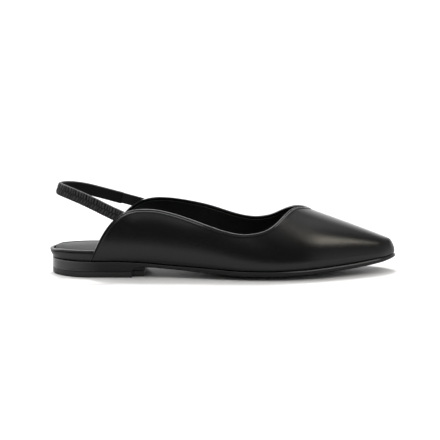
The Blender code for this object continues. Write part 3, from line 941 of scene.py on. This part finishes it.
def strap_grid(settings):
    """Gathered elastic: two rows of small puffs, staggered by half a pitch, with sharp creases between.

    A puff's height is the product of two flattened arcs, along its own creased cell and over its own row.
    """
    bulge = settings.bulge / MM
    pitch = settings.pitch / MM
    gather = settings.gather / MM
    offset, depth = band_profile(settings.width / MM, settings.thickness / MM, 41)
    half = settings.width / MM / 2.0

    def relief(run, at_offset, at_depth, t):
        """Puffs and tucked end as depth, notched edges as offset, and a mask of painted shade for the
        creases.
        """
        v = (at_offset / half)[None, :]
        face = np.clip(at_depth / depth.max(), 0.0, 1.0)[None, :]
        wander = run + 0.3 * np.sin(run * 0.83) + 0.18 * np.sin(run * 2.1 + 1.0)
        upper = v > 0.02
        row = np.where(upper, (v - 0.51) / 0.49, (v + 0.49) / 0.51)
        cell = wander / pitch + np.where(upper, 0.5 - 0.16 * row, 0.16 * row)
        along = 2.0 * (cell - np.floor(cell)) - 1.0
        puff = np.sqrt(1.0 - 0.9 * along**2) * np.sqrt(1.0 - 0.5 * np.clip(row, -1.0, 1.0) ** 2)
        tuck = 0.5 * (1.0 - smoothstep(t / 0.03)) * np.sign(at_depth)[None, :]
        serrate = 0.3 * np.abs(along) ** 3 * smoothstep((np.abs(v) - 0.75) / 0.2) * -np.sign(v)
        serrate = serrate * np.where(v < 0.0, 1.0, 0.3)
        # Painted shade mask: the puff's height on the outer face, low in the creases and at the rows'
        # edges; a fixed mid value on the inner face
        crease_shade_mask = 0.62 + (puff - 0.62) * face
        return gather * (puff - 0.8) * face - tuck - bulge * v**2, serrate, crease_shade_mask

    first = strap_end(OUTER, offset)
    return band(offset, depth, first, np.full_like(offset, STRAP_JOIN_SHARE), 840, relief)


def tab_grid():
    """Plain leather tab with rounded edges, from under the elastic's end into the inner quarter."""
    offset, depth = band_profile(TAB_WIDTH, 1.5, 15)
    length = strap_frame(np.array([0.0]))[3]

    def relief(run, at_offset, at_depth, t):
        """None: the tab is plain."""
        return np.zeros_like(run), np.zeros_like(run), np.ones_like(run)

    first = np.full_like(offset, STRAP_JOIN_SHARE - 1.5 / length)
    return band(offset, depth, first, strap_end(INNER, offset), 40, relief)


def to_metres(points):
    """Puts millimetre points in the shoe's frame, in metres."""
    middle = np.array([(SHOE_LENGTH - HEEL_OVERHANG) / 2.0, MIDDLE_ACROSS, 0.0])
    return (points - middle) * MM


def add_piece(name, grids, materials, nodes, slots=None, uvs=None, puff=None, sharp=38.0):
    """Joins grids of points into one welded, smooth mesh that rides on the shoe and stands for nodes."""
    verts, faces, marks, start = [], [], [], 0
    for number, grid in enumerate(grids):
        rows, columns = grid.shape[:2]
        index = np.arange(rows * columns).reshape(rows, columns) + start
        quads = np.stack([index[:-1, :-1], index[1:, :-1], index[1:, 1:], index[:-1, 1:]], axis=-1)
        verts.append(to_metres(grid.reshape(-1, 3)))
        faces.append(quads.reshape(-1, 4))
        mark = np.zeros(quads.shape[:2], int) if slots is None else slots[number]
        marks.append(np.broadcast_to(mark, quads.shape[:2]).reshape(-1))
        start += rows * columns
    corners = np.concatenate(faces)
    mesh = bpy.data.meshes.new(name)
    mesh.from_pydata(np.concatenate(verts), [], corners)
    mesh.polygons.foreach_set("material_index", np.concatenate(marks).astype(np.int32))
    if uvs is not None:
        flat = np.concatenate([uv.reshape(-1, 2) for uv in uvs])[corners.reshape(-1)]
        mesh.uv_layers.new(name="run").data.foreach_set("uv", flat.reshape(-1).astype(np.float32))
    # The puff attribute carries the painted crease shade mask of the gathered elastic to its material
    if puff is not None:
        layer = mesh.attributes.new("puff", "FLOAT", "POINT")
        layer.data.foreach_set("value", puff.reshape(-1).astype(np.float32))
    edit = bmesh.new()
    edit.from_mesh(mesh)
    bmesh.ops.remove_doubles(edit, verts=edit.verts, dist=2e-6)
    bmesh.ops.dissolve_degenerate(edit, dist=1e-7, edges=edit.edges)
    bmesh.ops.recalc_face_normals(edit, faces=edit.faces)
    edit.to_mesh(mesh)
    edit.free()
    mesh.shade_smooth()
    mesh.set_sharp_from_angle(angle=math.radians(sharp))
    for finish in materials:
        mesh.materials.append(finish)
    piece = bpy.data.objects.new(name, mesh)
    bpy.context.scene.collection.objects.link(piece)
    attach(piece, BODY)
    if nodes:
        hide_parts(*nodes)
    return piece


def add_node(tree, kind, inputs=(), **values):
    """New shader node with its settings and its input values or links."""
    made = tree.nodes.new(kind)
    for name, value in values.items():
        setattr(made, name, value)
    for name, value in dict(inputs).items():
        if isinstance(value, bpy.types.NodeSocket):
            tree.links.new(value, made.inputs[name])
        else:
            made.inputs[name].default_value = value
    return made


def ramp(tree, value, start, full, low=0.0, high=1.0, eased=True):
    """Takes a value from low at start to high at full, eased or straight, and holds it beyond."""
    return add_node(tree, "ShaderNodeMapRange", {
        "Value": value, "From Min": start, "From Max": full, "To Min": low, "To Max": high,
    }, interpolation_type="SMOOTHSTEP" if eased else "LINEAR").outputs[0]


def combine(tree, operation, *values, kind="ShaderNodeMath"):
    """Result of a sum, a product or another operation on values."""
    return add_node(tree, kind, dict(enumerate(values)), operation=operation).outputs[0]


def noise(tree, place, scale, detail):
    """Outputs of a noise texture at a place."""
    return add_node(tree, "ShaderNodeTexNoise", {"Vector": place, "Scale": scale, "Detail": detail}).outputs


def opaque(colour, share=1.0):
    """Colour at a share of its brightness, with full cover."""
    return (*[c * share for c in colour], 1.0)


def blend(tree, factor, low, high):
    """Mix of two colours by a factor."""
    return add_node(tree, "ShaderNodeMix", {0: factor, 6: low, 7: high}, data_type="RGBA").outputs[2]


def shades(tree, factor, colour, low, high):
    """Mix of a darker and a lighter shade of one colour."""
    return blend(tree, factor, opaque(colour, low), opaque(colour, high))


def object_place(tree):
    """Place on the piece in its own coordinates, as a vector and as its three parts."""
    place = add_node(tree, "ShaderNodeTexCoord").outputs["Object"]
    return place, add_node(tree, "ShaderNodeSeparateXYZ", {0: place}).outputs


def leather_grain():
    """Group: fine pebbled grain of leather as a height, and a slow change of tone over the hide."""
    name = "leather_grain"
    if name in bpy.data.node_groups:
        return bpy.data.node_groups[name]
    tree = bpy.data.node_groups.new(name, "ShaderNodeTree")
    for socket, way, kind in (
        ("Place", "INPUT", "NodeSocketVector"),
        ("Pebbles per metre", "INPUT", "NodeSocketFloat"),
        ("Height", "OUTPUT", "NodeSocketFloat"),
        ("Tone", "OUTPUT", "NodeSocketFloat"),
    ):
        tree.interface.new_socket(socket, in_out=way, socket_type=kind)
    place, scale = tree.nodes.new("NodeGroupInput").outputs[:2]
    result = tree.nodes.new("NodeGroupOutput")
    vector = "ShaderNodeVectorMath"
    drift = noise(tree, place, 420.0, 2.0)["Color"]
    moved = combine(tree, "MULTIPLY", drift, (0.0012, 0.0012, 0.0012), kind=vector)
    bent = combine(tree, "ADD", place, moved, kind=vector)
    pebbles = add_node(tree, "ShaderNodeTexVoronoi", {"Vector": bent, "Scale": scale},
                       feature="DISTANCE_TO_EDGE")
    rounded = ramp(tree, pebbles.outputs["Distance"], 0.0, 0.28)
    pores = noise(tree, place, 5200.0, 3.0)["Fac"]
    height = combine(tree, "MULTIPLY_ADD", pores, 0.45, rounded)
    tree.links.new(height, result.inputs["Height"])
    tree.links.new(noise(tree, place, 55.0, 4.0)["Fac"], result.inputs["Tone"])
    return tree


def finish_material(name, colour):
    """Procedural finish: grained bump, a slow change of colour and gloss over the piece."""
    roughness, spread, pebbles, depth, gloss, coat = FINISHES[name]
    made = bpy.data.materials.new(name)
    made.use_nodes = True
    tree = made.node_tree
    shader = tree.nodes["Principled BSDF"].inputs
    place = add_node(tree, "ShaderNodeTexCoord").outputs["Object"]
    grain = add_node(tree, "ShaderNodeGroup", {"Place": place, "Pebbles per metre": pebbles},
                     node_tree=leather_grain()).outputs
    low, high = roughness - spread / 2.0, roughness + spread / 2.0
    bump = add_node(tree, "ShaderNodeBump", {"Height": grain["Height"], "Distance": depth})
    tree.links.new(shades(tree, grain["Tone"], colour, 0.78, 1.22), shader["Base Color"])
    tree.links.new(ramp(tree, grain["Tone"], 0.3, 0.7, low, high, eased=False), shader["Roughness"])
    tree.links.new(bump.outputs[0], shader["Normal"])
    shader["Specular IOR Level"].default_value = gloss
    shader["Coat Weight"].default_value = coat
    shader["Coat Roughness"].default_value = COAT_ROUGHNESS
    return made


def elastic_material(settings):
    """Gathered cloth: plain finish, painted shade in its creases, and a painted pale highlight on the
    lining's top edge.
    """
    made = finish_material("strap_elastic", settings.colour)
    tree = made.node_tree
    base = tree.nodes["Principled BSDF"].inputs["Base Color"]
    # Painted shade: where the puff mask is low, in the creases, the colour goes to the crease shade colour;
    # lit is the share kept at the face colour
    crease_shade_mask = add_node(tree, "ShaderNodeAttribute", attribute_name="puff").outputs["Fac"]
    lit = ramp(tree, crease_shade_mask, 0.58, 0.88, eased=False)
    face = blend(tree, lit, CREASE_SHADE_COLOUR, base.links[0].from_socket)
    # Painted highlight: a pale strip along the top edge, full within 0.5 mm of it and gone 0.8 mm below,
    # where the lining's edge shows
    run = add_node(tree, "ShaderNodeUVMap", uv_map="run").outputs[0]
    up = add_node(tree, "ShaderNodeSeparateXYZ", {0: run}).outputs["Y"]
    half = settings.width / 2.0
    edge = ramp(tree, up, half - 0.0008, half - 0.0005, eased=False)
    tree.links.new(blend(tree, edge, face, opaque(settings.edge_highlight_colour)), base)
    return made


class SHOE_OT_bottom(bpy.types.Operator):
    """Heel block and sole as one painted unit, with the rubber lift under the heel"""

    bl_idname = "shoe.bottom"
    bl_label = "Heel and sole"

    def execute(self, context):
        settings = context.scene.shoe_bottom
        self.add_unit(settings)
        self.add_lift(settings)
        return {"FINISHED"}

    def varnish(self, tree):
        """Clear coat round the back of the heel block, streaked level with the floor, fading forwards."""
        place, parts = object_place(tree)
        coat = ramp(tree, parts["X"], -0.122, -0.096, 1.0, 0.0, eased=False)
        flat = combine(tree, "MULTIPLY", place, (4.0, 4.0, 420.0), kind="ShaderNodeVectorMath")
        streak = ramp(tree, noise(tree, flat, 1.0, 1.0)[0], 0.3, 0.7, 0.6, 1.0, eased=False)
        weight = combine(tree, "MULTIPLY", coat, streak)
        tree.links.new(weight, tree.nodes["Principled BSDF"].inputs["Coat Weight"])

    def rounded(self, s):
        """Share of the rounding of the tread's edge: less on the heel block, eased to full before it."""
        return 0.3 + 0.7 * smoothstep((s - 60.0) / 12.0)

    def bevelled(self, s):
        """Share of the bevel of the upper edge: faint at the back, eased to full towards the toe."""
        return 0.1 + 0.9 * smoothstep((s - 175.0) / 25.0)

    def add_unit(self, settings):
        """Rings along the unit: tread, rounded lower edge, upright side and a narrow waxed bevel."""
        chamfer = settings.chamfer / MM
        rounding = settings.edge_round / MM
        breast = BREAST_TOP - (BREAST_TOP - BREAST_FOOT) * np.cos(np.linspace(0.0, RIGHT_ANGLE, 21))
        body = np.concatenate([
            np.linspace(HEEL_ROUND, BREAST_FOOT, 22)[:-1],
            breast[:-1],
            [BREAST_TOP - 0.05],
            np.linspace(BREAST_TOP, SHOE_LENGTH - TOE_ROUND, 130),
        ])
        s = stations(26, body, 26)
        side_rows = []
        for turn in EDGE_TURN:
            inset = rounding * self.rounded(s) * (1.0 - math.sin(turn))
            lift = rounding * (1.0 - math.cos(turn))
            side_rows.append((inset, lambda x, v, lift=lift: bottom(x, v) + lift * self.rounded(x)))
        side_rows.append((0.0, lambda x, v: (bottom(x, v) + seat(x, v)) / 2.0))
        side_rows.append((0.0, lambda x, v: seat(x, v) - chamfer * self.bevelled(x)))
        corner = BREAST_SHARE + np.linspace(0.0, CORNER_WIDTH, 4)
        across = np.sort(np.concatenate([np.linspace(-1.0, 1.0, 25), -corner, corner]))
        rings = plate(
            s,
            (rounding * self.rounded(s), bottom, across),
            (chamfer * self.bevelled(s), seat, np.linspace(-1.0, 1.0, 7)),
            side_rows,
        )
        mark = np.zeros(rings.shape[1] - 1, int)
        mark[: len(across) - 1] = 1
        mark[[len(across) + len(side_rows) - 1, -len(side_rows) - 1]] = 2
        paint = finish_material("sole_paint", settings.colour)
        self.varnish(paint.node_tree)
        rubber = finish_material("tread_rubber", settings.tread_colour)
        wax = finish_material("waxed_edge", settings.colour)
        finishes = [paint, rubber, wax]
        add_piece("heel_and_sole", [rings], finishes, ["heel", "outsole"], [mark[None, :]])

    def add_lift(self, settings):
        """Rings along the lift: flat on the floor, rounded lower edge, set in with the heel's breast."""
        s = stations(26, np.linspace(HEEL_ROUND, LIFT_FRONT, 20), 1)[:-1]
        s = np.concatenate([s, np.linspace(LIFT_FRONT + 0.05, BREAST_TOP - 0.1, 8)])
        inset = np.where(s > LIFT_FRONT, (1.0 - BREAST_SHARE) * half_width(s), LIFT_INSET)
        rows = []
        for turn in EDGE_TURN:
            height = LIFT_EDGE * (1.0 - math.cos(turn))
            rows.append((inset + LIFT_EDGE * (1.0 - math.sin(turn)), level_at(height)))
        rows.append((inset, level_at(LIFT_HEIGHT - LIFT_CHAMFER)))
        rows.append((inset + LIFT_CHAMFER, level_at(LIFT_HEIGHT)))
        across = np.linspace(-1.0, 1.0, 9)
        rings = plate(
            s,
            (inset + LIFT_EDGE, level_at(0.0), across),
            (inset + LIFT_CHAMFER, level_at(LIFT_HEIGHT), across),
            rows,
        )
        rings = np.concatenate([rings, end_cap(rings[-1])])
        matt = finish_material("lift_rubber", settings.tread_colour)
        add_piece("heel_lift", [rings], [matt], ["top_lift"])


class SHOE_OT_footbed(bpy.types.Operator):
    """Wrapped insole with its rolled edge, and the sock pad on it"""

    bl_idname = "shoe.footbed"
    bl_label = "Footbed"

    def execute(self, context):
        settings = context.scene.shoe_bottom
        s = stations(30, np.linspace(HEEL_ROUND, SHOE_LENGTH - TOE_ROUND, 110), 20)
        self.add_insole(settings, s)
        self.add_sock(settings, s)
        return {"FINISHED"}

    def add_insole(self, settings, s):
        """Rings along the footbed: plain underside, rolled side with a seam, and a core in its lip, matt as
        painted shade.
        """
        inset = insole_inset(s)
        slant = INSOLE_SLANT * overhanging(s)
        shares = np.unique(np.concatenate([np.linspace(0.0, 1.0, 22), INSOLE_SIDE["share"]]))
        roll = np.interp(shares, INSOLE_SIDE["share"], INSOLE_SIDE["inset"])

        def between(share):
            """Height function at a share of the footbed's thickness."""
            return lambda x, v: insole_base(x, v) * (1.0 - share) + insole_top(x, v) * share

        rows = []
        for share, tuck in zip(shares, roll):
            rows.append((inset + tuck + slant * (1.0 - smoothstep(share / 0.75)), between(share)))
        rows += [(inset + tuck, over_insole(rise)) for tuck, rise in INSOLE_LIP]
        below = np.linspace(-1.0, 1.0, 7)
        core = np.linspace(-1.0, 1.0, 15)
        rings = plate(
            s,
            (inset + roll[0] + slant, insole_base, below),
            (inset + 3.6, over_insole(-0.75), core),
            rows,
        )
        # Painted shade: the lip's inner walls and the core's top take the matt finish, which darkens the
        # groove
        mark = np.zeros(rings.shape[1] - 1, int)
        edge = len(below) + len(rows)
        mark[edge - 2 : edge + len(core) + 1] = 1
        wrap = finish_material("insole_leather", settings.insole_colour)
        groove_shade = finish_material("matt_groove_shade", settings.insole_colour)
        add_piece("insole_wrap", [rings], [wrap, groove_shade], ["insole"], [mark[None, :]])

    def add_sock(self, settings, s):
        """Rings along the pad: low sides and a crown that falls with the square of the place across."""
        inset = insole_inset(s) + SOCK_INSET + SOCK_SLANT * overhanging(s)

        def crown(x, v):
            """Top of the pad: fullest at the heel, rounded off at its edges."""
            fill = 1.1 - 0.7 * smoothstep((x - 50.0) / 40.0)
            return insole_top(x, v) - 0.2 + 0.2 * round_end(np.abs(v)) ** 0.6 + fill * (1.0 - v**2)

        rings = plate(
            s,
            (inset, over_insole(-0.7), np.linspace(-1.0, 1.0, 9)),
            (inset + 0.4, crown, np.sin(np.linspace(-RIGHT_ANGLE, RIGHT_ANGLE, 33))),
            [(inset, over_insole(-0.7)), (inset + 0.1, over_insole(-0.3))],
        )
        sock = finish_material("sock_leather", settings.sock_colour)
        add_piece("sock_pad", [rings], [sock], ["sock"])


class SHOE_OT_upper(bpy.types.Operator):
    """Lasted leather upper with folded edges, its lining and the stitching along the edges"""

    bl_idname = "shoe.upper"
    bl_label = "Upper"

    def execute(self, context):
        settings = context.scene.shoe_upper
        leather = finish_material("upper_leather", settings.colour)
        polished = finish_material("polished_leather", settings.colour)
        lining = finish_material("lining_leather", settings.lining_colour)
        thread = finish_material("thread", settings.colour)
        outer, outer_marks = upper_shell(OUTER, settings)
        inner, inner_marks = upper_shell(INNER, settings)
        add_piece("leather_upper", outer + inner, [leather, polished], ["upper"],
                  outer_marks + inner_marks, sharp=50.0)
        shells = lining_shell(OUTER, settings) + lining_shell(INNER, settings)
        add_piece("upper_lining", shells, [lining], [], sharp=50.0)
        stitches = stitch_grids(OUTER, settings) + stitch_grids(INNER, settings)
        add_piece("edge_stitching", stitches, [thread], [])
        return {"FINISHED"}


class SHOE_OT_strap(bpy.types.Operator):
    """Gathered elastic sling strap and the leather tab at its inner end"""

    bl_idname = "shoe.strap"
    bl_label = "Strap"

    def execute(self, context):
        settings = context.scene.shoe_strap
        elastic = elastic_material(settings)
        grid, uv, puff = strap_grid(settings)
        add_piece("gathered_strap", [grid], [elastic], ["strap"], None, [uv], puff, 70.0)
        leather = finish_material("tab_leather", context.scene.shoe_upper.colour)
        add_piece("leather_tab", [tab_grid()[0]], [leather], ["strap_tab"])
        return {"FINISHED"}


class SHOE_OT_stage(bpy.types.Operator):
    """Plain pale floor, soft studio light and the camera"""

    bl_idname = "shoe.stage"
    bl_label = "Stage"

    def execute(self, context):
        scene = context.scene
        settings = scene.shoe_stage
        self.add_floor(scene, settings)
        self.light_world(scene, settings)
        self.add_lamp(scene, "key_lamp", settings.key, spread=8.0, tilt=27.0, swing=0.0)
        self.add_lamp(scene, "low_lamp", settings.low, spread=12.0, tilt=80.0, swing=12.0)
        self.add_camera(scene, settings)
        scene.view_settings.view_transform = "Standard"
        scene.view_settings.look = "None"
        return {"FINISHED"}

    def add_floor(self, scene, settings):
        """Wide flat disc under the shoe, matt all over."""
        ring = np.linspace(0.0, 2.0 * math.pi, 65)[:-1]
        corners = FLOOR_RADIUS * np.stack([np.cos(ring), np.sin(ring), 0.0 * ring], axis=1)
        mesh = bpy.data.meshes.new("floor")
        mesh.from_pydata(corners, [], [list(range(len(ring)))])
        pale = bpy.data.materials.new("pale_floor")
        pale.use_nodes = True
        shader = pale.node_tree.nodes["Principled BSDF"]
        self.paint_floor(pale.node_tree, shader, settings)
        shader.inputs["Roughness"].default_value = 0.9
        shader.inputs["Specular IOR Level"].default_value = 0.0
        mesh.materials.append(pale)
        floor = bpy.data.objects.new("floor", mesh)
        scene.collection.objects.link(floor)

    def paint_floor(self, tree, shader, settings):
        """Even colour; in the shoe's reflections it is painted dimmer, a painted shade darkest far in
        front.
        """
        # Painted reflection: glossy rays see the floor at the mirrored share of its colour, falling to 0.15
        # of that share from 0.22 m to 0.5 m in front
        near = ramp(tree, object_place(tree)[1]["Y"], -0.5, -0.22, 0.15)
        dim = shades(tree, near, settings.floor_colour, 0.0, settings.mirrored)
        mirror = add_node(tree, "ShaderNodeLightPath").outputs["Is Glossy Ray"]
        paint = blend(tree, mirror, opaque(settings.floor_colour), dim)
        tree.links.new(paint, shader.inputs["Base Color"])

    def light_world(self, scene, settings):
        """Studio round the shoe by direction: bright low backdrop, soft panels overhead, dim front."""
        world = bpy.data.worlds.new("studio")
        world.use_nodes = True
        scene.world = world
        tree = world.node_tree
        towards = add_node(tree, "ShaderNodeTexCoord").outputs["Generated"]
        axes = add_node(tree, "ShaderNodeSeparateXYZ", {0: towards}).outputs
        behind = ramp(tree, axes["Y"], 0.15, 0.75)
        low = ramp(tree, axes["Z"], 0.5, 0.85, settings.back, 0.0)
        backdrop = combine(tree, "MULTIPLY_ADD", behind, low, settings.front)
        height = combine(tree, "MAXIMUM", axes["Z"], 0.05)
        slants = [combine(tree, "DIVIDE", axes[axis], height) for axis in ("X", "Y")]
        glow = {}
        for name, bounds in PANELS.items():
            glow[name] = self.panel(tree, getattr(settings, name), slants, bounds)
        toe_side = ramp(tree, axes["X"], 0.35, 0.7)
        fade = ramp(tree, axes["Z"], 0.1, 0.6, settings.side, 0.3 * settings.side, eased=False)
        beside = combine(tree, "MULTIPLY_ADD", toe_side, fade, glow["hood"])
        for name in ("above", "brow", "left"):
            beside = combine(tree, "ADD", beside, glow[name])
        plain = tree.nodes["Background"]
        plain.inputs["Color"].default_value = WHITE
        tree.links.new(combine(tree, "ADD", backdrop, beside), plain.inputs["Strength"])
        warm = add_node(tree, "ShaderNodeBackground", {"Color": WARM, "Strength": glow["aside"]})
        both = add_node(tree, "ShaderNodeAddShader", {0: plain.outputs[0], 1: warm.outputs[0]})
        white = add_node(tree, "ShaderNodeBackground", {"Color": WHITE, "Strength": 1.0})
        seen = add_node(tree, "ShaderNodeLightPath").outputs["Is Camera Ray"]
        shown = add_node(tree, "ShaderNodeMixShader", {0: seen, 1: both.outputs[0], 2: white.outputs[0]})
        tree.links.new(shown.outputs[0], tree.nodes["World Output"].inputs["Surface"])

    def panel(self, tree, level, slants, bounds):
        """Soft panel overhead. A slant is how far a direction goes sideways for each unit that it rises."""
        glow = level
        for slant, (start, full, fading, end) in zip(slants, bounds):
            for dark, light in ((start, full), (end, fading)):
                glow = combine(tree, "MULTIPLY", glow, ramp(tree, slant, dark, light))
        return glow

    def add_lamp(self, scene, name, strength, spread, tilt, swing):
        """Distant soft lamp from behind, tilted from straight above; it lights the floor, unmirrored."""
        lamp = bpy.data.lights.new(name, "SUN")
        lamp.energy = strength
        lamp.angle = math.radians(spread)
        piece = bpy.data.objects.new(name, lamp)
        scene.collection.objects.link(piece)
        piece.rotation_euler = (-math.radians(tilt), 0.0, math.radians(swing))
        piece.visible_glossy = False

    def add_camera(self, scene, settings):
        """Long lens level with the photograph's view: from the outer side, a little above the floor."""
        lens = bpy.data.cameras.new("camera")
        lens.lens = settings.lens
        lens.sensor_width = 36.0
        lens.clip_end = 60.0
        camera = bpy.data.objects.new("camera", lens)
        scene.collection.objects.link(camera)
        back = np.array([0.0, -math.cos(settings.elevation), math.sin(settings.elevation)])
        camera.location = np.array(CAMERA_TARGET) + settings.distance * back
        camera.rotation_euler = (RIGHT_ANGLE - settings.elevation, 0.0, 0.0)
        scene.camera = camera


class SHOE_PT_panel(bpy.types.Panel):
    """Lists the pieces of the shoe"""

    bl_idname = "SHOE_PT_panel"
    bl_label = "Slingback shoe"
    bl_space_type = "VIEW_3D"
    bl_region_type = "UI"
    bl_category = "Shoe"

    def draw(self, context):
        for step in STEPS:
            self.layout.operator(step.bl_idname)


STEPS = (SHOE_OT_bottom, SHOE_OT_footbed, SHOE_OT_upper, SHOE_OT_strap, SHOE_OT_stage)
GROUPS = {
    "shoe_upper": UpperSettings,
    "shoe_strap": StrapSettings,
    "shoe_bottom": BottomSettings,
    "shoe_stage": StageSettings,
}


def register():
    """Adds the settings, the operators and the panel."""
    for name, group in GROUPS.items():
        bpy.utils.register_class(group)
        setattr(bpy.types.Scene, name, PointerProperty(type=group))
    for step in (*STEPS, SHOE_PT_panel):
        bpy.utils.register_class(step)


def unregister():
    """Takes them away again."""
    for step in (SHOE_PT_panel, *reversed(STEPS)):
        bpy.utils.unregister_class(step)
    for name, group in GROUPS.items():
        delattr(bpy.types.Scene, name)
        bpy.utils.unregister_class(group)


def main():
    """Builds every piece and the stage."""
    register()
    bpy.ops.shoe.bottom()
    bpy.ops.shoe.footbed()
    bpy.ops.shoe.upper()
    bpy.ops.shoe.strap()
    bpy.ops.shoe.stage()


if __name__ == "__main__":
    main()
